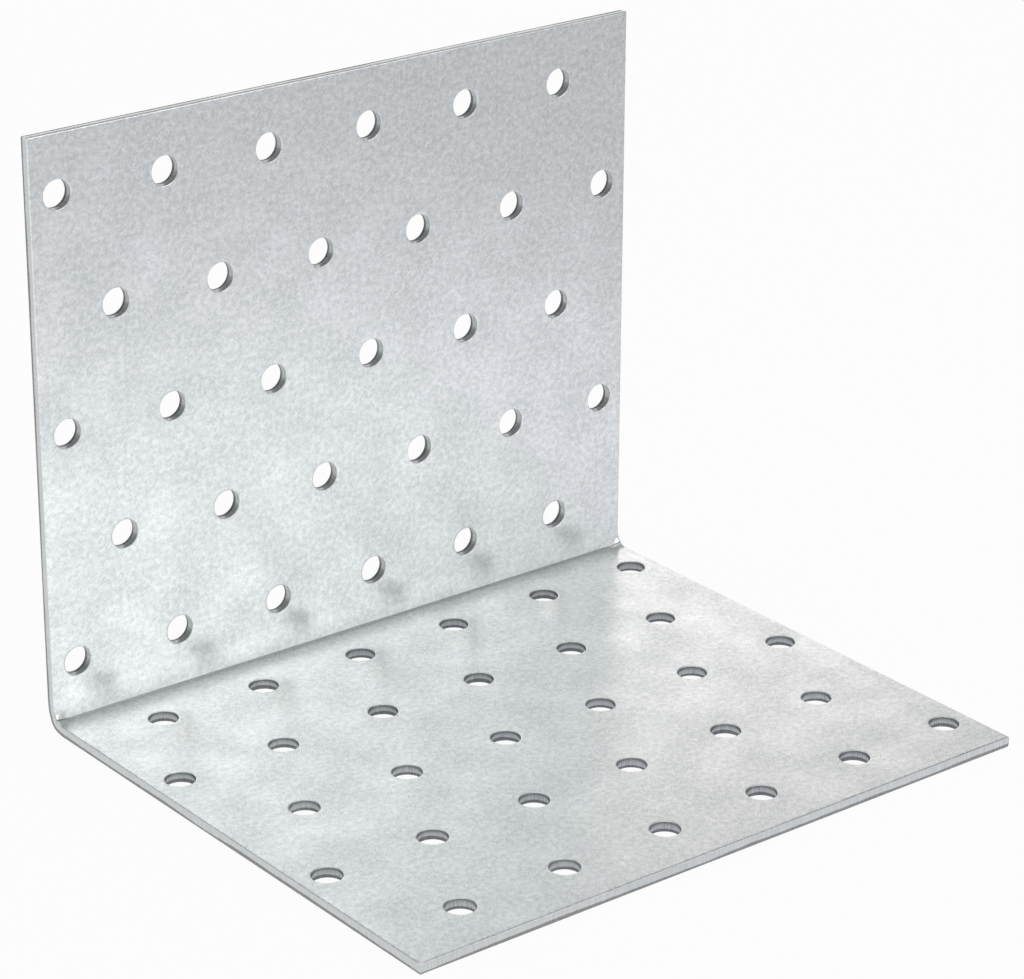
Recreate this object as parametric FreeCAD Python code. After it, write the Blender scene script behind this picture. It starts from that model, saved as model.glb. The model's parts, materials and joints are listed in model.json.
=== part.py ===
import FreeCAD, Part
import math
import os

# Perforated angle bracket for timber joints: one blank of galvanised steel sheet, punched all over
# with a staggered pattern of nail holes, then folded square across its middle.
# X runs along the fold and Z is up. The base lies flat on Z = 0 and reaches from the upright
# towards -Y. The origin is under the middle of the bracket's outer box.

# Driving dimensions, in millimetres.
sheet_thickness = 1.8
bracket_width = 120.0        # along the fold
upright_blank = 100.0        # flat length from the upright's free edge to the fold line
base_blank = 100.0           # flat length from the base's free edge to the fold line
fold_inner_radius = 1.0
neutral_layer = 0.42         # depth of the unstretched layer below the inner face, as a share of thickness
hole_diameter = 5.0
hole_pitch = 20.0            # between the holes of a row
row_pitch = 20.0             # between the rows of a leg
end_margin = 5.0             # from the bracket's end to the nearest hole's centre
edge_margin = 10.0           # from a leg's free edge to its first row's centres
rollover_radius = 0.2        # rounding that the shear leaves along the outline of the inner face

# What the fold does to the blank's lengths.
fold_outer_radius = fold_inner_radius + sheet_thickness
fold_allowance = math.pi / 2 * (fold_inner_radius + neutral_layer * sheet_thickness)
fold_deduction = 2 * fold_outer_radius - fold_allowance
upright_height = upright_blank + fold_deduction / 2
base_depth = base_blank + fold_deduction / 2

# Places in the bracket's own frame.
left_end = -bracket_width / 2
right_end = bracket_width / 2
base_tip = -base_depth / 2
upright_outside = base_depth / 2
upright_inside = upright_outside - sheet_thickness
fold_axis_y = upright_outside - fold_outer_radius
fold_axis_z = fold_outer_radius

nearness = 1e-6              # two lengths closer than this count as equal


def folded_sheet():
    """The L-shaped section with its round fold, drawn at the left end and extruded along the fold."""

    def at(y, z):
        return FreeCAD.Vector(left_end, y, z)

    def fold_arc(radius):
        """A quarter turn about the fold's axis, from the base's side round to the upright's side."""
        middle = radius * math.sqrt(0.5)
        return Part.Arc(
            at(fold_axis_y, fold_axis_z - radius),
            at(fold_axis_y + middle, fold_axis_z - middle),
            at(fold_axis_y + radius, fold_axis_z),
        )

    section = [
        Part.LineSegment(at(base_tip, 0), at(fold_axis_y, 0)),
        fold_arc(fold_outer_radius),
        Part.LineSegment(at(upright_outside, fold_axis_z), at(upright_outside, upright_height)),
        Part.LineSegment(at(upright_outside, upright_height), at(upright_inside, upright_height)),
        Part.LineSegment(at(upright_inside, upright_height), at(upright_inside, fold_axis_z)),
        fold_arc(fold_inner_radius),
        Part.LineSegment(at(fold_axis_y, sheet_thickness), at(base_tip, sheet_thickness)),
        Part.LineSegment(at(base_tip, sheet_thickness), at(base_tip, 0)),
    ]
    edges = Part.sortEdges([line.toShape() for line in section])[0]
    return Part.Face(Part.Wire(edges)).extrude(FreeCAD.Vector(bracket_width, 0, 0))


def inner_outline(sheet):
    """The edges round the inner face of the folded sheet, without the fold's two tangent lines."""

    def is_inner(face):
        if isinstance(face.Surface, Part.Cylinder):
            return abs(face.Surface.Radius - fold_inner_radius) < nearness
        middle = face.CenterOfMass
        on_base = abs(middle.z - sheet_thickness) < nearness
        on_upright = abs(middle.y - upright_inside) < nearness
        return on_base or on_upright

    edges = [edge for face in sheet.Faces if is_inner(face) for edge in face.Edges]
    return [edge for edge in edges if sum(edge.isSame(other) for other in edges) == 1]


def row_distances(leg_blank):
    """How far each row of a leg lies from its free edge, as far as the last row that clears the fold."""
    last = leg_blank - fold_allowance / 2 - hole_diameter / 2
    rows = math.floor((last - edge_margin) / row_pitch) + 1
    return [edge_margin + number * row_pitch for number in range(rows)]


def hole_columns(staggered):
    """Where the holes of a row lie along the fold. A staggered row starts half a pitch further in."""
    first = left_end + end_margin + staggered * hole_pitch / 2
    last = right_end - end_margin
    holes = math.floor((last - first) / hole_pitch + nearness) + 1
    return [first + number * hole_pitch for number in range(holes)]


def punches():
    """One cylinder for each hole. Rows are staggered by turns, and the turns carry on across the fold."""
    spare = sheet_thickness
    length = sheet_thickness + 2 * spare
    radius = hole_diameter / 2
    cylinders = []
    for number, distance in enumerate(row_distances(upright_blank)):
        for x in hole_columns(number % 2):
            start = FreeCAD.Vector(x, upright_inside - spare, upright_height - distance)
            cylinders.append(Part.makeCylinder(radius, length, start, FreeCAD.Vector(0, 1, 0)))
    for number, distance in enumerate(row_distances(base_blank)):
        for x in hole_columns((number + 1) % 2):
            start = FreeCAD.Vector(x, base_tip + distance, sheet_thickness + spare)
            cylinders.append(Part.makeCylinder(radius, length, start, FreeCAD.Vector(0, 0, -1)))
    return cylinders


def angle_bracket():
    """The folded sheet with its sheared outline rounded on the inner face and its nail holes punched."""
    sheet = folded_sheet()
    rounded = sheet.makeFillet(rollover_radius, inner_outline(sheet))
    return rounded.cut(punches()).Solids[0]


os.makedirs("parts", exist_ok=True)
bracket = angle_bracket()
bracket.exportStep("parts/angle_bracket.step")

box = bracket.BoundBox
print("holes:", len(punches()))
print("outer size:", round(box.XLength, 3), round(box.YLength, 3), round(box.ZLength, 3), "mm")
print("volume:", round(bracket.Volume, 1), "mm3, valid:", bracket.isValid())
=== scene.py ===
# %% [markdown]
# # A perforated angle bracket
#
# The bracket is one blank of galvanised steel sheet. A press punches it all over with nail holes,
# and a brake folds it square across its middle. The scene follows that order: a punched tile of
# sheet, a blank laid with tiles, the sheared rim round the blank, and then the fold.
#
# The measured part comes first. It is the fixed frame that the sizes below are worked out from.

# %% Load the measured part
import json
import math

import bmesh
import bpy
from mathutils import Matrix, Vector


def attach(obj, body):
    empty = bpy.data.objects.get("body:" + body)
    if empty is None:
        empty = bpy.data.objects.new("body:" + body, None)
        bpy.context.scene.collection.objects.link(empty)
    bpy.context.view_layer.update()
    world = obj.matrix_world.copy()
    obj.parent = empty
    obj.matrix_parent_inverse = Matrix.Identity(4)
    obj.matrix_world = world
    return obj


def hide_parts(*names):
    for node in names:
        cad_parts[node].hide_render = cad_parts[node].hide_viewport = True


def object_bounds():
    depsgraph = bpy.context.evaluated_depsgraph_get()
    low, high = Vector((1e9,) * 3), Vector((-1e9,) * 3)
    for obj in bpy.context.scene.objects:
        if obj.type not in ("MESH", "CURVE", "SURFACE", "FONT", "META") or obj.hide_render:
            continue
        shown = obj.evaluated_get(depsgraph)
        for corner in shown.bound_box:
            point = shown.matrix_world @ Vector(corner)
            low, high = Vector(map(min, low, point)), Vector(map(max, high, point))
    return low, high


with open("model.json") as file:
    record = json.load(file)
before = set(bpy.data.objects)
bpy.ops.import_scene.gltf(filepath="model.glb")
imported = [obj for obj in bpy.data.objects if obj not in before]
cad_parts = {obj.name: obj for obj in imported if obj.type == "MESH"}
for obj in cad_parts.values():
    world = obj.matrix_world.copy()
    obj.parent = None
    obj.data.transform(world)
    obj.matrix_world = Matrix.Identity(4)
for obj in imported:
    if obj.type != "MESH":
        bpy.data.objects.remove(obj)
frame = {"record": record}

cad_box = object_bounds()
lowest, highest = cad_box
mm = 0.001
print("measured part:", [round(side / mm, 2) for side in highest - lowest], "mm")

# %% [markdown]
# ## Sizes
#
# The outer box gives the width and the legs, and the nail mounts in the record give the holes.
# Neither tells the sheet's gauge or how the fold was made, so those sizes are written here. Folding
# stretches the outside of the sheet and squeezes the inside. One layer in between keeps its length,
# and its arc is the strip of flat blank that the fold uses up.

# %% Sizes of the sheet, the fold and the holes
sheet_thickness = 1.8 * mm
fold_inner_radius = 1.0 * mm
neutral_layer = 0.42  # depth of that layer, as a share of the thickness

nails = {mount["name"]: mount["dims"] for mount in frame["record"]["mounts"]}
hole_radius = nails["base_nails_middle_row_narrow"]["hole_r_mm"] * mm
hole_pitch = nails["base_nails_middle_row_narrow"]["spacing_x_mm"] * mm
row_pitch = nails["base_nails_second_and_fourth_rows_narrow"]["spacing_y_mm"] / 2 * mm

half_width = (highest.x - lowest.x) / 2
leg = highest.z - lowest.z
neutral_radius = fold_inner_radius + neutral_layer * sheet_thickness
fold_allowance = math.pi / 2 * neutral_radius
half_length = leg - fold_inner_radius - sheet_thickness + fold_allowance / 2
print("flat blank:", round(2 * half_width / mm, 2), "by", round(2 * half_length / mm, 2), "mm")
print("the fold uses up", round(fold_allowance / mm, 3), "mm of it")

# %% [markdown]
# ## One helper for nodes, one for colours
#
# Node trees are usually drawn by hand in the editor, but a script can build them too. One small
# function adds a node, sets its options and fills its inputs. An input takes a plain value, a
# socket, or another node, which then stands for its first output. Colours are written as the hex
# values of a colour picker, which are sRGB, while shaders calculate in linear light.

# %% Helpers for nodes and colours


def add_node(tree, kind, inputs=(), **options):
    """Add a node, set its options, and give its inputs, in order or by name, a value or a link."""
    node = tree.nodes.new(kind)
    for option, value in options.items():
        setattr(node, option, value)
    for socket, value in inputs.items() if isinstance(inputs, dict) else enumerate(inputs):
        if isinstance(value, bpy.types.Node):
            value = next(output for output in value.outputs if output.enabled)
        if isinstance(value, bpy.types.NodeSocket):
            tree.links.new(value, node.inputs[socket])
        else:
            node.inputs[socket].default_value = value
    return node


def linear(hex_colour):
    """An sRGB hex colour as linear red, green, blue and alpha."""
    shares = [int(hex_colour[start:start + 2], 16) / 255 for start in (1, 3, 5)]
    return [s / 12.92 if s <= 0.04045 else ((s + 0.055) / 1.055) ** 2.4 for s in shares] + [1.0]


print("a picker's middle grey is", round(linear("#808080")[0], 3), "in linear light")

# %% [markdown]
# ## The tiles
#
# Half a hole pitch wide and one row pitch long, a tile of sheet either has a nail hole in its
# middle or has none, and the two kinds alternate like the squares of a chessboard. A Boolean cut
# could punch the holes, but its edges come out razor sharp. A real punched hole has a profile: the
# punch first pulls the top of the sheet in (rollover), then shears a clean band (burnish), and
# then the rest tears off with a slight flare (fracture). So the tile is made of rings that run
# from its border on the inner face, down through the hole and out to its border on the outer face.
# A narrow flat ring beside each rounding keeps the shading of the flat face flat. All tiles lie
# flat, inner face up at height 0.

# %% Rings of points
tile_width = hole_pitch / 2
tile_length = row_pitch
steps_per_side = 12
steps_around = 4 * steps_per_side
rollover_steps = 5


def tile_border(depth):
    """Points round the tile. Opposite sides mirror each other, so neighbours share their points."""
    points = []
    for step in range(steps_around):
        angle = 2 * math.pi * step / steps_around
        reach = max(abs(math.cos(angle)), abs(math.sin(angle)))
        x = math.cos(angle) / reach * tile_width / 2
        y = math.sin(angle) / reach * tile_length / 2
        points.append((x, y, -depth))
    return points


def hole_ring(radius, depth):
    """Points round the hole, as many as round the tile."""
    angles = [2 * math.pi * step / steps_around for step in range(steps_around)]
    return [(radius * math.cos(angle), radius * math.sin(angle), -depth) for angle in angles]


def rollover_arc(width, depth):
    """How far each step of a rounded rim stands back from the cut, and how deep it lies."""
    turns = [step / rollover_steps * math.pi / 2 for step in range(rollover_steps + 1)]
    return [(width * (1 - math.sin(turn)), depth * (1 - math.cos(turn))) for turn in turns]


print("a ring of a tile has", steps_around, "points")

# %% Source meshes of the punched and plain tiles
hole_rollover_width = 0.2 * mm
hole_rollover_depth = 0.1 * mm
fracture_flare = 0.02 * mm
break_depth = 0.68 * sheet_thickness
flat_ring = 0.15 * mm


def tile_object(name, points, faces):
    """A source mesh for the tree to lay. It is removed once the sheet is made."""
    mesh = bpy.data.meshes.new(name)
    mesh.from_pydata(points, [], faces)
    return bpy.data.objects.new(name, mesh)


def punched_tile():
    """Rings from the tile's border down through the hole and back out, joined by quads."""
    mouth = hole_radius + fracture_flare
    rings = [tile_border(0), hole_ring(hole_radius + hole_rollover_width + flat_ring, 0)]
    rollover = rollover_arc(hole_rollover_width, hole_rollover_depth)
    rings += [hole_ring(hole_radius + back, depth) for back, depth in rollover]
    rings += [hole_ring(hole_radius, break_depth), hole_ring(mouth, sheet_thickness)]
    rings += [hole_ring(mouth + flat_ring, sheet_thickness), tile_border(sheet_thickness)]
    faces = []
    for row in range(len(rings) - 1):
        for step in range(steps_around):
            here = row * steps_around + step
            beside = row * steps_around + (step + 1) % steps_around
            faces.append((here, beside, beside + steps_around, here + steps_around))
    return tile_object("punched_tile", [point for points in rings for point in points], faces)


def plain_tile():
    """One face above and one below, with the same border points as the punched tile."""
    inner_face = list(range(steps_around))
    outer_face = [steps_around + step for step in reversed(inner_face)]
    points = tile_border(0) + tile_border(sheet_thickness)
    return tile_object("plain_tile", points, [inner_face, outer_face])


sources = {"Punched Tile": punched_tile(), "Plain Tile": plain_tile()}
for title, tile in sources.items():
    print(title, "has", len(tile.data.polygons), "faces")

# %% [markdown]
# ## The strip that is folded
#
# Next to the fold line the blank needs narrow rows of faces, or the bend would come out as a few
# flat facets. Subdividing the whole sheet would do that too, with many faces where none are needed.
# Here only a strip has them, and its rows crowd together towards the fold line, where the bend is
# tightest.

# %% Source mesh of half the strip
half_strip = 6.0 * mm
strip_rows = 26
crowding = 1.5


def half_strip_tile():
    """Rows of faces from the fold line outwards, above and below, as wide as a tile."""
    corner = steps_per_side // 2
    columns = [x for x, y, z in reversed(tile_border(0)[corner:corner + steps_per_side + 1])]
    rows = [half_strip * (row / strip_rows) ** crowding for row in range(strip_rows + 1)]
    points = [(x, y, -depth) for depth in (0, sheet_thickness) for y in rows for x in columns]
    faces = []
    for first_row, turned in ((0, 1), (len(rows), -1)):
        for row in range(first_row, first_row + strip_rows):
            for column in range(steps_per_side):
                here = row * len(columns) + column
                above = here + len(columns)
                faces.append((here, here + 1, above + 1, above)[::turned])
    return tile_object("half_strip", points, faces)


sources["Half Strip"] = half_strip_tile()
print("half the strip has", len(sources["Half Strip"].data.polygons), "faces per tile width")

# %% [markdown]
# ## The course of the fold
#
# The Simple Deform modifier can bend a sheet, but only in one even arc. Here the course of the layer
# that keeps its length is drawn as a curve, and the sheet follows it later on. The measured part has
# one mean radius. Close up, the sheet turns up over a tighter nose, which leaves a thin crease, and
# the last few degrees are a shallow curve in the foot of the upright, the leg that swings up in the
# press and springs back a little. The base mirrors that foot, which gives the soft shade along the
# fold.

# %% Curve of the fold
nose_inner_radius = 0.35 * mm
nose_turn = 78.5
foot_radius = 20 * mm
foot_turn = 90 - nose_turn
arc_steps = 20
bends = ((nose_inner_radius + neutral_layer * sheet_thickness, nose_turn), (foot_radius, foot_turn))


def fold_course():
    """The neutral layer's way from tip to top, and the place of its nose on the blank."""
    y, z, turned = 0, 0, 0
    points = [(y, z)]
    for radius, degrees in bends:
        half_step = math.radians(degrees) / arc_steps / 2
        chord = 2 * radius * math.sin(half_step)
        for step in range(arc_steps):
            y += chord * math.cos(turned + half_step)
            z += chord * math.sin(turned + half_step)
            turned += 2 * half_step
            points.append((y, z))
    below = (1 - neutral_layer) * sheet_thickness
    shift = Vector((highest.y - below - y, lowest.z + below))
    places = [Vector((lowest.y, shift.y))]
    places += [Vector(point) + shift for point in points]
    places.append(Vector((highest.y - below, highest.z)))
    steps = [(end - start).length for start, end in zip(places, places[1:])]
    nose = sum(steps[:1 + arc_steps // 2]) / sum(steps)

    curve = bpy.data.curves.new("fold_course", "CURVE")
    curve.dimensions = "3D"
    spline = curve.splines.new("POLY")
    spline.points.add(len(places) - 1)
    for point, place in zip(spline.points, places):
        point.co = (0, *place, 1)
    return bpy.data.objects.new("fold_course", curve), (2 * nose - 1) * half_length


sources["Fold Course"], crease_place = fold_course()
print("the crease lies", round(crease_place / mm, 3), "mm from the middle of the blank")

# %% [markdown]
# ## Hot-dip galvanised steel
#
# The sheet was dipped in molten zinc at the mill, and the zinc froze in crystals far too small for
# the large flowers of old galvanised buckets. The eye sees a pale, satin metal with a slightly
# green-blue cast, a fine pepper-and-salt grain a millimetre wide at most, short dark flecks in it,
# soft clouds the size of a fingertip where the skin is a touch duller, and a few hairline rubs from
# stacking. An image of real zinc could be wrapped round the sheet, but noise has no seams and takes
# its sizes in millimetres. The patterns read the flat coordinates of the blank, so they run on
# across the fold as they do on the real sheet.

# %% Face finish: grain and clouds
grain_size = 1.0 * mm
cloud_size = 9 * mm

# Noise gathers about 0.5. A band of its values is stretched, and a weight says how much it counts.
noise_band = (0.3, 0.7)
grain_band = (0.36, 0.64)
grain_weight = 0.8
cloud_weight = 0.2

galvanised = bpy.data.materials.new("hot_dip_galvanised_steel")
galvanised.use_nodes = True
tree = galvanised.node_tree
tree.nodes.clear()
blank = add_node(tree, "ShaderNodeAttribute", attribute_name="blank").outputs["Vector"]
grain = add_node(
    tree,
    "ShaderNodeTexNoise",
    {"Vector": blank, "Scale": 1 / grain_size, "Detail": 3.0, "Roughness": 0.85},
)
cloud = add_node(tree, "ShaderNodeTexNoise", {"Vector": blank, "Scale": 1 / cloud_size, "Detail": 3.0})
grain_share = add_node(tree, "ShaderNodeMapRange", [grain.outputs[0], *grain_band, 0.0, grain_weight])
cloud_share = add_node(tree, "ShaderNodeMapRange", [cloud.outputs[0], *noise_band, 0.0, cloud_weight])
tone = add_node(tree, "ShaderNodeMath", [grain_share, cloud_share], operation="ADD")
print("grain and clouds:", len(tree.nodes), "nodes")

# %% Face finish: rubs and flecks
rub_length = 14 * mm
rub_width = 0.25 * mm
rub_angle = math.radians(34)
rub_band = (0.7, 0.85)
rub_weight = 0.25
fleck_length = 1.1 * mm
fleck_width = 0.2 * mm
fleck_angle = math.radians(-48)
fleck_band = (0.58, 0.7)
fleck_weight = -0.8
patch_band = (0.42, 0.6)
weakest_patch = 0.2
dull_zinc = "#d5d9d9"
bright_zinc = "#fdffff"

# Rubs lighten the zinc. Flecks darken it, most of all where the clouds are dull.
turned = add_node(tree, "ShaderNodeVectorRotate", {"Vector": blank, "Angle": rub_angle})
stretched = add_node(
    tree, "ShaderNodeVectorMath", [turned, (1 / rub_length, 1 / rub_width, 1.0)], operation="MULTIPLY"
)
rub = add_node(tree, "ShaderNodeTexNoise", {"Vector": stretched, "Scale": 1.0, "Detail": 0.0})
rub_share = add_node(tree, "ShaderNodeMapRange", [rub.outputs[0], *rub_band, 0.0, rub_weight])
rubbed = add_node(tree, "ShaderNodeMath", [tone, rub_share], operation="ADD")
crossed = add_node(tree, "ShaderNodeVectorRotate", {"Vector": blank, "Angle": fleck_angle})
squeezed = add_node(
    tree,
    "ShaderNodeVectorMath",
    [crossed, (1 / fleck_length, 1 / fleck_width, 1.0)],
    operation="MULTIPLY",
)
fleck = add_node(
    tree, "ShaderNodeTexNoise", {"Vector": squeezed, "Scale": 1.0, "Detail": 1.0, "Distortion": 0.8}
)
fleck_share = add_node(tree, "ShaderNodeMapRange", [fleck.outputs[0], *fleck_band, 0.0, fleck_weight])
patch = add_node(tree, "ShaderNodeMapRange", [cloud.outputs[0], *patch_band, 1.0, weakest_patch])
light_tone = add_node(
    tree, "ShaderNodeMath", [fleck_share, patch, rubbed], operation="MULTIPLY_ADD", use_clamp=True
)
clean_zinc = add_node(
    tree,
    "ShaderNodeMix",
    {0: light_tone, 6: linear(dull_zinc), 7: linear(bright_zinc)},
    data_type="RGBA",
)
print("with rubs and flecks:", len(tree.nodes), "nodes")

# %% Face finish: painted shade in the crease, relief and shader
crease_reach = 0.5 * mm
crease_rise = 0.3 * mm
# Colour of the painted shade in the crease.
painted_crease_shade = "#7f8685"
dull_roughness = 0.33
bright_roughness = 0.27
grain_height = 0.008 * mm

# A line of painted shade darkens the crease of the inner face, a little to the upright's side of its
# middle.
flat = add_node(tree, "ShaderNodeSeparateXYZ", [blank]).outputs
dark_line = crease_place + crease_rise
off_line = add_node(tree, "ShaderNodeMath", [flat["Y"], dark_line], operation="SUBTRACT")
from_line = add_node(tree, "ShaderNodeMath", [off_line], operation="ABSOLUTE")
crease = add_node(tree, "ShaderNodeMapRange", [from_line, 0.0, crease_reach, 1.0, 0.0])
inside = add_node(tree, "ShaderNodeMath", [flat["Z"], -sheet_thickness / 2], operation="GREATER_THAN")
crease_shade_share = add_node(tree, "ShaderNodeMath", [crease, inside], operation="MULTIPLY")
zinc = add_node(
    tree, "ShaderNodeMix", {0: crease_shade_share, 6: clean_zinc, 7: linear(painted_crease_shade)}, data_type="RGBA"
)
dullness = add_node(
    tree, "ShaderNodeMapRange", [cloud.outputs[0], *noise_band, dull_roughness, bright_roughness]
)
relief = add_node(
    tree, "ShaderNodeBump", {"Strength": 1.0, "Distance": grain_height, "Height": grain.outputs[0]}
)
face_shader = add_node(
    tree,
    "ShaderNodeBsdfPrincipled",
    {"Base Color": zinc, "Metallic": 1.0, "Roughness": dullness, "Normal": relief},
)
add_node(tree, "ShaderNodeOutputMaterial", [face_shader])
print("face finish:", len(tree.nodes), "nodes")

# %% [markdown]
# ## Sheared edges
#
# The cuts were made after the dipping, so they show bare steel. Next to the inner face runs the
# burnish, which the blade wiped smooth and scored with fine lines across the edge. Below it the
# metal tore off, and that fracture is rougher and darker. The line between them rises and falls
# slowly along the edge. One plain grey would do from afar, but up close these bands tell a sheared
# edge from a milled one. The walls of the holes are the same bare steel, painted darker for the
# shade inside the holes, so one function makes both finishes.

# %% Cut finishes
score_width = 0.12 * mm
score_length = 3 * mm
wander_size = 18 * mm
wander_depth = 1.2 * mm
blend_depth = 0.06 * mm
burnish_roughness = 0.3
fracture_roughness = 0.55


def cut_steel(name, burnish_dark, burnish_light, fracture_dark, fracture_light):
    """Bare steel on a cut, smooth near the inner face and torn below the break."""
    material = bpy.data.materials.new(name)
    material.use_nodes = True
    tree = material.node_tree
    tree.nodes.clear()
    blank = add_node(tree, "ShaderNodeAttribute", attribute_name="blank").outputs["Vector"]
    depth_below = add_node(tree, "ShaderNodeSeparateXYZ", [blank]).outputs["Z"]
    wander = add_node(
        tree, "ShaderNodeTexNoise", {"Vector": blank, "Scale": 1 / wander_size, "Detail": 4.0}
    )
    break_line = add_node(
        tree, "ShaderNodeMath", [wander.outputs[0], wander_depth, depth_below], operation="MULTIPLY_ADD"
    )
    middle = wander_depth / 2 - break_depth
    torn = add_node(
        tree, "ShaderNodeMapRange", [break_line, middle + blend_depth, middle - blend_depth, 0.0, 1.0]
    )
    across_edge = add_node(
        tree,
        "ShaderNodeVectorMath",
        [blank, (1 / score_width, 1 / score_width, 1 / score_length)],
        operation="MULTIPLY",
    )
    score = add_node(tree, "ShaderNodeTexNoise", {"Vector": across_edge, "Scale": 1.0, "Detail": 2.0})
    score_share = add_node(tree, "ShaderNodeMapRange", [score.outputs[0], *noise_band, 0.0, 1.0])
    burnish = add_node(
        tree,
        "ShaderNodeMix",
        {0: score_share, 6: linear(burnish_dark), 7: linear(burnish_light)},
        data_type="RGBA",
    )
    fracture = add_node(
        tree,
        "ShaderNodeMix",
        {0: score_share, 6: linear(fracture_dark), 7: linear(fracture_light)},
        data_type="RGBA",
    )
    steel = add_node(tree, "ShaderNodeMix", {0: torn, 6: burnish, 7: fracture}, data_type="RGBA")
    roughness = add_node(
        tree, "ShaderNodeMapRange", [torn, 0.0, 1.0, burnish_roughness, fracture_roughness]
    )
    shader = add_node(
        tree, "ShaderNodeBsdfPrincipled", {"Base Color": steel, "Metallic": 1.0, "Roughness": roughness}
    )
    add_node(tree, "ShaderNodeOutputMaterial", [shader])
    return material


sheared = cut_steel(
    "sheared_steel_edge",
    burnish_dark="#bcc0c1",
    burnish_light="#d5d9d9",
    fracture_dark="#888889",
    fracture_light="#a4a4a4",
)
# The hole walls take darker colours: painted shade for the inside of the holes.
punched = cut_steel(
    "punched_steel_wall",
    burnish_dark="#989c9e",
    burnish_light="#bcc0c1",
    fracture_dark="#6b6d6f",
    fracture_light="#8a8c8e",
)
print("cut finishes:", sheared.name, "and", punched.name)

# %% [markdown]
# ## The sheet: laid, rimmed and folded
#
# Geometry Nodes suit this piece, because its whole shape follows a rule. The tree lays the tiles of
# the flat blank, grows the sheared rim round it, marks the cuts, and only then folds the sheet.
# Modelling the folded shape by hand would do too, but then no size could be changed afterwards. The
# flat coordinates are kept as an attribute called blank, for the patterns of the finishes.

# %% Tree: inputs
sheet_tree = bpy.data.node_groups.new("punched and folded sheet", "GeometryNodeTree")
sizes = {
    "Half Strip Width": half_strip,
    "Sheet Thickness": sheet_thickness,
    "Break Depth": break_depth,
    "Neutral Depth": neutral_layer * sheet_thickness,
}
finishes = {"Face Finish": galvanised, "Cut Finish": sheared, "Hole Finish": punched}
socket_kinds = {"Geometry": "Geometry"}
socket_kinds.update({title: "Material" for title in finishes})
socket_kinds.update({title: "Object" for title in sources})
socket_kinds.update({title: "Float" for title in sizes})
for title, kind in socket_kinds.items():
    sheet_tree.interface.new_socket(title, in_out="INPUT", socket_type="NodeSocket" + kind)
sheet_tree.interface.new_socket("Geometry", in_out="OUTPUT", socket_type="NodeSocketGeometry")
given = add_node(sheet_tree, "NodeGroupInput").outputs
print("the tree takes", len(socket_kinds), "inputs")

# %% [markdown]
# ## Laying the blank
#
# A press punches the staggered holes row by row as the sheet is fed through. Array modifiers could
# repeat the tiles, but a chessboard of two kinds takes several of them. Here each point of a grid
# gets one tile, punched where the numbers of its column and row add up to an even number, and plain
# elsewhere. The first tiles stop short for the strip beside the fold line. The second leg is the first
# one turned half round.

# %% Tree: tiles of one leg
columns = round(2 * half_width / tile_width)
rows = round(half_length / tile_length)
middles = add_node(
    sheet_tree,
    "GeometryNodeMeshGrid",
    [(columns - 1) * tile_width, (rows - 1) * tile_length, columns, rows],
)
leg_middles = add_node(
    sheet_tree, "GeometryNodeTransform", {"Geometry": middles, "Translation": (0, half_length / 2, 0)}
)
number = add_node(sheet_tree, "GeometryNodeInputIndex")
column = add_node(sheet_tree, "FunctionNodeIntegerMath", [number, rows], operation="DIVIDE_FLOOR")
row = add_node(sheet_tree, "FunctionNodeIntegerMath", [number, rows], operation="MODULO")
count = add_node(sheet_tree, "FunctionNodeIntegerMath", [column, row], operation="ADD")
is_plain = add_node(sheet_tree, "FunctionNodeIntegerMath", [count, 2], operation="MODULO")
is_punched = add_node(sheet_tree, "FunctionNodeBooleanMath", [is_plain], operation="NOT")
laid = add_node(sheet_tree, "GeometryNodeJoinGeometry")
for title, chosen in (("Punched Tile", is_punched), ("Plain Tile", is_plain)):
    source = add_node(sheet_tree, "GeometryNodeObjectInfo", {"Object": given[title]})
    copies = add_node(
        sheet_tree,
        "GeometryNodeInstanceOnPoints",
        {"Points": leg_middles, "Selection": chosen, "Instance": source.outputs["Geometry"]},
    )
    sheet_tree.links.new(copies.outputs[0], laid.inputs[0])
leg_tiles = add_node(sheet_tree, "GeometryNodeRealizeInstances", [laid])
print("the blank has", columns, "by", 2 * rows, "tiles")

# %% Tree: strip beside the fold line
far = 1.0  # beyond every point of the sheet

# The tiles stop where the strip begins.
place = add_node(sheet_tree, "GeometryNodeInputPosition")
strip_end = add_node(sheet_tree, "ShaderNodeCombineXYZ", [-far, given["Half Strip Width"], -far])
clear_of_strip = add_node(sheet_tree, "ShaderNodeVectorMath", [place, strip_end], operation="MAXIMUM")
short_tiles = add_node(
    sheet_tree, "GeometryNodeSetPosition", {"Geometry": leg_tiles, "Position": clear_of_strip}
)
strip_middles = add_node(
    sheet_tree,
    "GeometryNodeMeshLine",
    {
        "Count": columns,
        "Start Location": (tile_width / 2 - half_width, 0, 0),
        "Offset": (tile_width, 0, 0),
    },
)
strip_source = add_node(sheet_tree, "GeometryNodeObjectInfo", {"Object": given["Half Strip"]})
strip_copies = add_node(
    sheet_tree,
    "GeometryNodeInstanceOnPoints",
    {"Points": strip_middles, "Instance": strip_source.outputs["Geometry"]},
)
strip = add_node(sheet_tree, "GeometryNodeRealizeInstances", [strip_copies])
leg_half = add_node(sheet_tree, "GeometryNodeJoinGeometry", [short_tiles])
sheet_tree.links.new(strip.outputs[0], leg_half.inputs[0])
print("the strip takes", round(half_strip / mm, 2), "mm of each leg")

# %% Tree: outline and second leg
rim_rollover_width = 0.3 * mm
rim_flat = 0.25 * mm
rim_margin = rim_rollover_width + rim_flat
weld = 0.001 * mm

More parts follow.
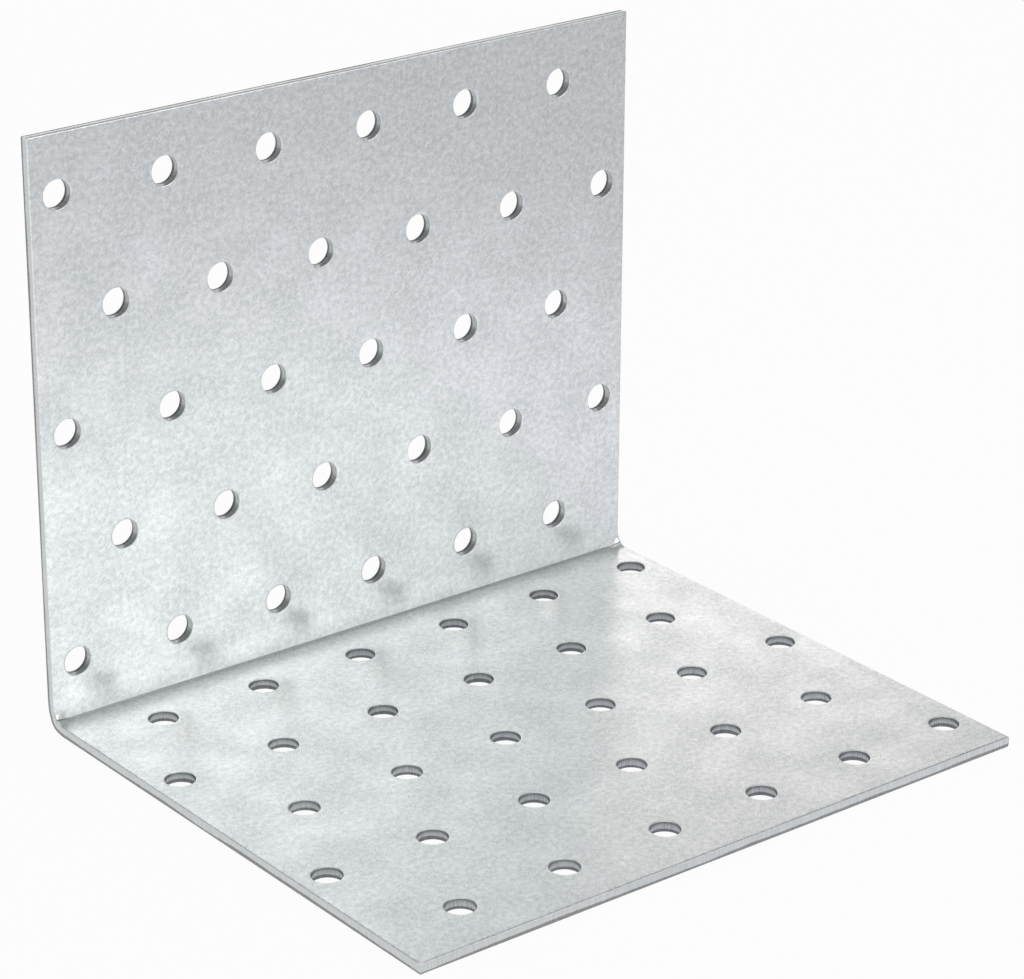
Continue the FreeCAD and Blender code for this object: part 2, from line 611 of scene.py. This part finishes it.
# The outline is drawn in to leave room for the rim.
rim_corner = Vector((half_width - rim_margin, half_length - rim_margin, far))
high_side = add_node(sheet_tree, "ShaderNodeVectorMath", [place, rim_corner], operation="MINIMUM")
both_sides = add_node(sheet_tree, "ShaderNodeVectorMath", [high_side, -rim_corner], operation="MAXIMUM")
one_leg = add_node(sheet_tree, "GeometryNodeSetPosition", {"Geometry": leg_half, "Position": both_sides})
other_leg = add_node(
    sheet_tree, "GeometryNodeTransform", {"Geometry": one_leg, "Rotation": (0, 0, math.pi)}
)
both_legs = add_node(sheet_tree, "GeometryNodeJoinGeometry", [one_leg])
sheet_tree.links.new(other_leg.outputs[0], both_legs.inputs[0])
flat_sheet = add_node(
    sheet_tree, "GeometryNodeMergeByDistance", {"Geometry": both_legs, "Distance": weld}
)
print("the outline leaves", round(rim_margin / mm, 2), "mm for the rim")

# %% [markdown]
# ## The sheared rim
#
# A shear cuts the blank from a wide coil, so its outline has the same profile as the holes: rounded
# over, wiped and torn. A Bevel modifier would round both faces alike. Here the open edge of the inner
# face is extruded ring by ring, and each ring is the last one scaled a little, so that corners stay
# square. The last ring meets the outer face and is merged with it. Then the line where a cut breaks
# is made uneven, in the holes as well, as torn metal is.

# %% Tree: grow the rim
rim_rollover_depth = 0.12 * mm
rim_taper = 0.08 * mm

faces_beside = add_node(sheet_tree, "GeometryNodeInputMeshEdgeNeighbors")
is_open = add_node(
    sheet_tree, "FunctionNodeCompare", {2: faces_beside, 3: 1}, data_type="INT", operation="EQUAL"
)
half_depth = add_node(
    sheet_tree, "ShaderNodeMath", [given["Sheet Thickness"], -0.5], operation="MULTIPLY"
)
flat_place = add_node(sheet_tree, "ShaderNodeSeparateXYZ", [place])
height = flat_place.outputs["Z"]
is_inner = add_node(sheet_tree, "FunctionNodeCompare", [height, half_depth], operation="GREATER_THAN")
open_edge = add_node(sheet_tree, "FunctionNodeBooleanMath", [is_open, is_inner]).outputs[0]

rim_profile = rollover_arc(rim_rollover_width, rim_rollover_depth)
rim_profile += [(0, break_depth), (rim_taper, sheet_thickness), (rim_margin, sheet_thickness)]
last_inset, last_depth = rim_margin, 0
rimmed = flat_sheet
for inset, depth in rim_profile:
    ring = add_node(
        sheet_tree,
        "GeometryNodeExtrudeMesh",
        {"Mesh": rimmed, "Selection": open_edge, "Offset Scale": 0.0},
        mode="EDGES",
    )
    open_edge = ring.outputs["Top"]
    wider = [(half - inset) / (half - last_inset) for half in (half_width, half_length)]
    ring_place = add_node(
        sheet_tree,
        "ShaderNodeVectorMath",
        [place, (*wider, 1), (0, 0, last_depth - depth)],
        operation="MULTIPLY_ADD",
    )
    rimmed = add_node(
        sheet_tree,
        "GeometryNodeSetPosition",
        {"Geometry": ring.outputs["Mesh"], "Selection": open_edge, "Position": ring_place},
    )
    last_inset, last_depth = inset, depth
closed = add_node(sheet_tree, "GeometryNodeMergeByDistance", {"Geometry": rimmed, "Distance": weld})
marked = add_node(
    sheet_tree,
    "GeometryNodeStoreNamedAttribute",
    {"Geometry": closed, "Name": "blank", "Value": place},
    data_type="FLOAT_VECTOR",
)
print("the rim has", len(rim_profile), "rings")

# %% Tree: tear the cuts
tear_width = 1.5 * mm
tear_spread = 0.2 * mm

# The line where a cut breaks wanders up and down.
break_height = add_node(sheet_tree, "ShaderNodeMath", [given["Break Depth"], -1.0], operation="MULTIPLY")
is_break = add_node(
    sheet_tree, "FunctionNodeCompare", {0: height, 1: break_height, "Epsilon": weld}, operation="EQUAL"
)
wander = add_node(
    sheet_tree, "ShaderNodeTexNoise", {"Vector": place, "Scale": 1 / tear_width, "Detail": 2.0}
)
tear = add_node(
    sheet_tree,
    "ShaderNodeMath",
    [wander.outputs[0], tear_spread, -tear_spread / 2],
    operation="MULTIPLY_ADD",
)
torn = add_node(
    sheet_tree,
    "GeometryNodeSetPosition",
    {
        "Geometry": marked,
        "Selection": is_break,
        "Offset": add_node(sheet_tree, "ShaderNodeCombineXYZ", {"Z": tear}),
    },
)
print("the torn line wanders by", round(tear_spread / 2 / mm, 2), "mm at most")

# %% [markdown]
# ## Which faces are cuts
#
# Zinc covers the faces, and bare steel shows on the cuts. Faces could be picked in Edit Mode, but
# there are thousands. On the flat blank their place tells what they are, so they are marked before
# the fold, while a height still is a depth in the sheet.

# %% Tree: mark the cuts
cut_start = 0.9 * rim_rollover_depth

# A cut face lies between the rounding and the outer face.
below_rollover = add_node(
    sheet_tree, "FunctionNodeCompare", [height, -cut_start], operation="LESS_THAN"
)
above_outer = add_node(
    sheet_tree, "ShaderNodeMath", [given["Sheet Thickness"], -1.0, weld], operation="MULTIPLY_ADD"
)
is_above = add_node(sheet_tree, "FunctionNodeCompare", [height, above_outer], operation="GREATER_THAN")
is_cut = add_node(sheet_tree, "FunctionNodeBooleanMath", [below_rollover, is_above])
kept_cut = add_node(
    sheet_tree,
    "GeometryNodeStoreNamedAttribute",
    {"Geometry": torn, "Name": "cut", "Value": is_cut},
    data_type="BOOLEAN",
    domain="FACE",
)

# A cut that lies away from the outline is the wall of a hole.
along = flat_place.outputs["Y"]
from_fold = add_node(sheet_tree, "ShaderNodeMath", [along], operation="ABSOLUTE")
from_middle = add_node(sheet_tree, "ShaderNodeMath", [flat_place.outputs["X"]], operation="ABSOLUTE")
off_ends = add_node(
    sheet_tree, "FunctionNodeCompare", [from_middle, half_width - rim_margin], operation="LESS_THAN"
)
off_tips = add_node(
    sheet_tree, "FunctionNodeCompare", [from_fold, half_length - rim_margin], operation="LESS_THAN"
)
is_away = add_node(sheet_tree, "FunctionNodeBooleanMath", [off_ends, off_tips])
is_wall = add_node(sheet_tree, "FunctionNodeBooleanMath", [is_cut, is_away])
kept_wall = add_node(
    sheet_tree,
    "GeometryNodeStoreNamedAttribute",
    {"Geometry": kept_cut, "Name": "wall", "Value": is_wall},
    data_type="BOOLEAN",
    domain="FACE",
)
print("the faces have the marks cut and wall")

# %% [markdown]
# ## The fold
#
# A press brake folds the punched sheet. That stretches the heel, which draws in, and squeezes the
# inner face, which rises as a lip at both ends. A Curve modifier could carry the sheet along the
# course, but heel and lips would be further steps. Here the tree does all of it, point by point.

# %% Tree: heel and lips
lip_height = 0.6 * mm
lip_length = 2.5 * mm
heel_draw = 0.4 * mm
bend_reach = 2.5 * mm

past_crease = add_node(sheet_tree, "ShaderNodeMath", [along, crease_place], operation="SUBTRACT")
from_crease = add_node(sheet_tree, "ShaderNodeMath", [past_crease], operation="ABSOLUTE")
in_bend = add_node(
    sheet_tree,
    "ShaderNodeMapRange",
    [from_crease, 0.0, bend_reach, 1.0, 0.0],
    interpolation_type="SMOOTHSTEP",
)
lip = add_node(
    sheet_tree,
    "ShaderNodeMapRange",
    [from_middle, half_width - lip_length, half_width, 0.0, lip_height],
    interpolation_type="SMOOTHSTEP",
)
drawn = add_node(sheet_tree, "ShaderNodeMapRange", [height, 0.0, -sheet_thickness, lip, heel_draw])
drawn_here = add_node(sheet_tree, "ShaderNodeMath", [in_bend, drawn], operation="MULTIPLY")
into_corner = Vector((0, -1, 1)).normalized()
corner_offset = add_node(
    sheet_tree, "ShaderNodeVectorMath", {"Vector": into_corner, "Scale": drawn_here}, operation="SCALE"
)
print("the heel draws in by up to", round(heel_draw / mm, 2), "mm")
print("the lips rise by up to", round(lip_height / mm, 2), "mm")

# %% Tree: carry the sheet along the course
# Each point goes to its place along the course, and stands off it by its height above the layer.
share_along = add_node(
    sheet_tree, "ShaderNodeMapRange", [along, -half_length, half_length, 0.0, 1.0]
)
course = add_node(sheet_tree, "GeometryNodeObjectInfo", {"Object": given["Fold Course"]})
on_course = add_node(
    sheet_tree,
    "GeometryNodeSampleCurve",
    {"Curves": course.outputs["Geometry"], "Factor": share_along},
    mode="FACTOR",
)
inward = add_node(
    sheet_tree,
    "ShaderNodeVectorMath",
    [(1, 0, 0), on_course.outputs["Tangent"]],
    operation="CROSS_PRODUCT",
)
standing_off = add_node(sheet_tree, "ShaderNodeMath", [height, given["Neutral Depth"]], operation="ADD")
across = add_node(sheet_tree, "ShaderNodeCombineXYZ", [flat_place.outputs["X"]])
sideways = add_node(
    sheet_tree, "ShaderNodeVectorMath", [across, on_course.outputs["Position"]], operation="ADD"
)
upward = add_node(
    sheet_tree, "ShaderNodeVectorMath", {"Vector": inward, "Scale": standing_off}, operation="SCALE"
)
bent_place = add_node(sheet_tree, "ShaderNodeVectorMath", [sideways, upward], operation="ADD")
folded = add_node(
    sheet_tree,
    "GeometryNodeSetPosition",
    {"Geometry": kept_wall, "Position": bent_place, "Offset": corner_offset},
)
print("up to the fold the tree has", len(sheet_tree.nodes), "nodes")

# %% [markdown]
# ## Shading and finishes
#
# Roundings are shaded smooth, and real edges stay sharp. Shade Auto Smooth does this with a modifier
# of its own. Inside the tree two nodes do it: one smooths every face, and the other sharpens the
# edges that turn by more than a limit. The marks then choose the finish of each face.

# %% Tree: shade the sheet and give it its finishes
sharp_angle = math.radians(32)

corner = add_node(sheet_tree, "GeometryNodeInputMeshEdgeAngle")
is_sharp = add_node(sheet_tree, "FunctionNodeCompare", [corner, sharp_angle], operation="GREATER_THAN")
smooth = add_node(sheet_tree, "GeometryNodeSetShadeSmooth", {"Geometry": folded, "Shade Smooth": True})
shaded = add_node(
    sheet_tree,
    "GeometryNodeSetShadeSmooth",
    {"Geometry": smooth, "Selection": is_sharp, "Shade Smooth": False},
    domain="EDGE",
)
whole = add_node(sheet_tree, "GeometryNodeRealizeInstances", [shaded])
finished = add_node(
    sheet_tree, "GeometryNodeSetMaterial", {"Geometry": whole, "Material": given["Face Finish"]}
)
for mark, finish in (("cut", "Cut Finish"), ("wall", "Hole Finish")):
    marked_faces = add_node(
        sheet_tree, "GeometryNodeInputNamedAttribute", {"Name": mark}, data_type="BOOLEAN"
    )
    finished = add_node(
        sheet_tree,
        "GeometryNodeSetMaterial",
        {"Geometry": finished, "Selection": marked_faces, "Material": given[finish]},
    )
add_node(sheet_tree, "NodeGroupOutput", [finished])
print("the tree has", len(sheet_tree.nodes), "nodes")

# %% [markdown]
# ## A plain mesh
#
# What the tree makes exists only while its modifier is evaluated. It could stay a modifier, but other
# programs read plain meshes, so the result is copied into one and the tree's sources are removed.
# Counting the open edges shows whether the sheet is closed all round.

# %% Turn the tree's result into a plain mesh
maker = bpy.data.objects.new("sheet_maker", bpy.data.meshes.new("sheet_maker"))
bpy.context.scene.collection.objects.link(maker)
modifier = maker.modifiers.new("sheet", "NODES")
modifier.node_group = sheet_tree
settings = {**sources, **sizes, **finishes}
for socket in sheet_tree.interface.items_tree:
    if socket.name in settings:
        modifier[socket.identifier] = settings[socket.name]
sheet_mesh = bpy.data.meshes.new_from_object(maker.evaluated_get(bpy.context.evaluated_depsgraph_get()))
sheet_mesh.name = "galvanised_sheet"
bpy.data.objects.remove(maker)
for source in sources.values():
    bpy.data.objects.remove(source)
sheet = bpy.data.objects.new("galvanised_sheet", sheet_mesh)
bpy.context.scene.collection.objects.link(sheet)

probe = bmesh.new()
probe.from_mesh(sheet_mesh)
open_edges = sum(not edge.is_manifold for edge in probe.edges)
triangles = sum(len(face.verts) - 2 for face in probe.faces)
volume = probe.calc_volume(signed=True) / mm ** 3
probe.free()
print("sheet:", triangles, "triangles,", open_edges, "open edges,", round(volume), "mm3")

# %% [markdown]
# ## Riding on the measured part
#
# The bracket has no joints, so its only body is the root. The sheet stands for the measured solid,
# which stays hidden underneath for collisions.

# %% Seat the sheet
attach(sheet, "root")
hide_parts("angle_bracket")
print("the sheet stands for angle_bracket")

# %% [markdown]
# ## Camera
#
# The camera was fitted to the sixty holes in the photograph. Sixty known points on two planes tell
# a camera's place, direction and focal length. Lining it up by eye works too, but not to the pixel.
# It looks down from the left at the inside of the corner, through a long lens, with its middle on the
# middle of the picture.

# %% Camera
view_azimuth = math.radians(-38.35)
view_elevation = math.radians(22.72)
view_roll = math.radians(0.27)
view_distance = 590.0 * mm
view_aim = Vector((-3.57, -0.27, 44.97)) * mm

camera = bpy.data.objects.new("camera", bpy.data.cameras.new("camera"))
camera.data.sensor_fit = "HORIZONTAL"
camera.data.sensor_width = 36.0
camera.data.lens = 130.96
camera.data.clip_start = 0.05
camera.data.clip_end = 50.0
backward = Vector((
    math.sin(view_azimuth) * math.cos(view_elevation),
    -math.cos(view_azimuth) * math.cos(view_elevation),
    math.sin(view_elevation),
))
facing = (-backward).to_track_quat("-Z", "Y").to_matrix().to_4x4()
camera.matrix_world = (
    Matrix.Translation(view_aim + view_distance * backward) @ facing @ Matrix.Rotation(view_roll, 4, "Z")
)
bpy.context.scene.collection.objects.link(camera)
bpy.context.scene.camera = camera
print("camera at", [round(value / mm) for value in camera.matrix_world.translation], "mm")

# %% [markdown]
# ## The studio: paper and a graded card
#
# The bracket stands on white paper. Bright metal shows little of its own colour: it shows what
# lies around it, so the surroundings matter as much as the metal. The paper is white for the camera
# and for reflections alike, and a small share of it is ordinary matt white that keeps the shadow. A
# card lies on it that only mirrors see. It has a pool of white at the front right corner of the
# bracket and grades to grey all round, as a table does under a lamp. The upright mirrors it, and so
# darkens towards its top and its right end. A picture of a real studio on the world would do this as
# well, but a card can be moved and graded until the metal looks right.

# %% White paper
stage_reach = 4.0
paper_gap = 0.2 * mm
white_share = 0.95


def stage_sheet(name, left, right, front, back, height):
    """A flat sheet of the studio, which isn't part of the bracket."""
    corners = [(left, front, height), (right, front, height), (right, back, height), (left, back, height)]
    mesh = bpy.data.meshes.new(name)
    mesh.from_pydata(corners, [], [(0, 1, 2, 3)])
    sheet_of_stage = bpy.data.objects.new(name, mesh)
    bpy.context.scene.collection.objects.link(sheet_of_stage)
    material = bpy.data.materials.new(name)
    material.use_nodes = True
    material.node_tree.nodes.clear()
    mesh.materials.append(material)
    return sheet_of_stage, material.node_tree


floor_height = lowest.z - paper_gap
paper, tree = stage_sheet(
    "white_paper", -stage_reach, stage_reach, -stage_reach, stage_reach, floor_height
)
ray = add_node(tree, "ShaderNodeLightPath").outputs
direct = add_node(
    tree, "ShaderNodeMath", [ray["Is Camera Ray"], ray["Is Glossy Ray"]], operation="MAXIMUM"
)
seen = add_node(tree, "ShaderNodeMath", [direct, ray["Is Transmission Ray"]], operation="MAXIMUM")
white = add_node(tree, "ShaderNodeMath", [seen, white_share], operation="MULTIPLY")
matt = add_node(tree, "ShaderNodeBsdfDiffuse", {"Color": linear("#f7f7f7")})
glow = add_node(tree, "ShaderNodeEmission", {"Color": linear("#ffffff"), "Strength": 1.0})
mixed = add_node(tree, "ShaderNodeMixShader", [white, matt, glow])
add_node(tree, "ShaderNodeOutputMaterial", [mixed])
print("laid:", paper.name)

# %% Graded card
card_lift = 0.1 * mm
card_left = -20 * mm
card_back = 48 * mm
pool_middle = Vector((40, -60, 0)) * mm
pool_start = 40 * mm
pool_end = 165 * mm
pool_light = 1.0
card_light = 0.6

card, tree = stage_sheet(
    "graded_card", card_left, stage_reach, -stage_reach, card_back, floor_height + card_lift
)
card.visible_camera = False
card.visible_shadow = False
card.visible_diffuse = False
there = add_node(tree, "ShaderNodeTexCoord").outputs["Object"]
off_pool = add_node(
    tree, "ShaderNodeVectorMath", [there, pool_middle], operation="DISTANCE"
).outputs["Value"]
grade = add_node(tree, "ShaderNodeMapRange", [off_pool, pool_start, pool_end, pool_light, card_light])
glow = add_node(tree, "ShaderNodeEmission", {"Color": linear("#fafbff"), "Strength": grade})
add_node(tree, "ShaderNodeOutputMaterial", [glow])
print("laid:", card.name)

# %% [markdown]
# ## The studio: light
#
# Three softboxes and a dim room light the bracket. The front one stands a little to the right. Light
# from it reaches the camera by way of both legs, off one and then the other, so the inside of the
# corner glows on the left and fades to the right. The back one shows in the base's right side. The
# one overhead hardly shows from here, but it keeps the base bright for a view from above. The room is
# lighter near the ground than higher up. The foot of the upright mirrors the dimmer height, the base
# mirrors the foot, and that is the soft shade along the fold. One bright world would light the
# bracket as well, but metal that mirrors the same white on every side looks like plain grey card.

# %% Softboxes


def softbox(name, azimuth, elevation, distance, width, height, brightness, colour):
    """A rectangular lamp that looks at the origin. Its brightness is what a mirror would show of it."""
    turn = math.radians(azimuth)
    rise = math.radians(elevation)
    outward = Vector((math.sin(turn) * math.cos(rise), -math.cos(turn) * math.cos(rise), math.sin(rise)))
    lamp = bpy.data.lights.new(name, "AREA")
    lamp.shape = "RECTANGLE"
    lamp.size = width
    lamp.size_y = height
    lamp.energy = brightness * math.pi * width * height
    lamp.color = linear(colour)[:3]
    box = bpy.data.objects.new(name, lamp)
    facing = outward.to_track_quat("Z", "Y").to_matrix().to_4x4()
    box.matrix_world = Matrix.Translation(outward * distance) @ facing
    bpy.context.scene.collection.objects.link(box)


softbox(
    "front_softbox",
    azimuth=18,
    elevation=27,
    distance=1.0,
    width=0.8,
    height=0.4,
    brightness=1.6,
    colour="#ffffff",
)
softbox(
    "back_softbox",
    azimuth=148,
    elevation=21,
    distance=1.2,
    width=0.8,
    height=0.3,
    brightness=1.08,
    colour="#fffcfa",
)
softbox(
    "overhead_softbox",
    azimuth=0,
    elevation=90,
    distance=1.2,
    width=1.0,
    height=1.0,
    brightness=0.8,
    colour="#ffffff",
)
print("lamps:", [light.name for light in bpy.data.lights])

# %% World
wall_light = 0.6
ceiling_light = 0.36
ceiling_rise = 0.55  # sine of the angle at which the ceiling begins

world = bpy.data.worlds.new("studio_room")
bpy.context.scene.world = world
world.use_nodes = True
world.node_tree.nodes.clear()
tree = world.node_tree
direction = add_node(tree, "ShaderNodeTexCoord").outputs["Generated"]
rise = add_node(tree, "ShaderNodeSeparateXYZ", [direction]).outputs["Z"]
grade = add_node(tree, "ShaderNodeMapRange", [rise, 0.0, ceiling_rise, wall_light, ceiling_light])
room = add_node(tree, "ShaderNodeBackground", {"Color": linear("#ffffff"), "Strength": grade})
add_node(tree, "ShaderNodeOutputWorld", [room])
bpy.context.scene.view_settings.view_transform = "Standard"
print("the room's light falls from", wall_light, "to", ceiling_light)
